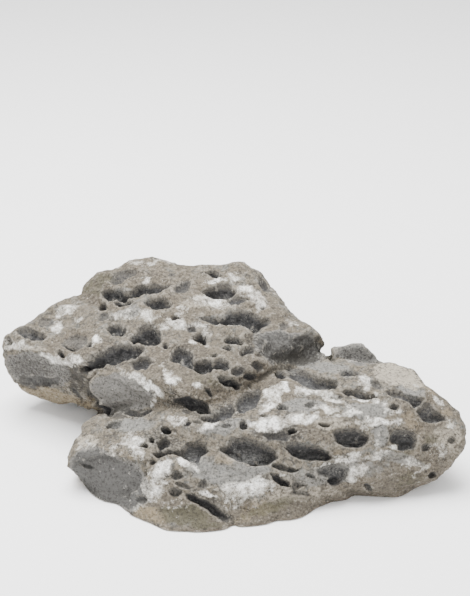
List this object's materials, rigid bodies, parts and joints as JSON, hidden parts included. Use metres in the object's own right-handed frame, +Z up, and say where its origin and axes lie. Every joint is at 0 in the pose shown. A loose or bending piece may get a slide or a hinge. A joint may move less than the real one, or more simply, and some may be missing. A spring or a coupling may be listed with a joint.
{
  "type": "seiryu stone",
  "caption": "Pitted grey seiryu stone for an aquascape, with two stepped slabs, a broken shoulder and a flat foot that it rests on",
  "frame": {"origin": "on the ground, under the middle of the stone's bounding box", "axes": "+X along the stone's length, to the right as the picture shows it; +Y to its back; +Z up from the ground"},
  "size_m": [0.3264, 0.2198, 0.1058],
  "materials": {
    "weathered_limestone": "dull, weathered"
  },
  "bodies": {
    "root": {"stone": "weathered_limestone"}
  },
  "joints": []
}
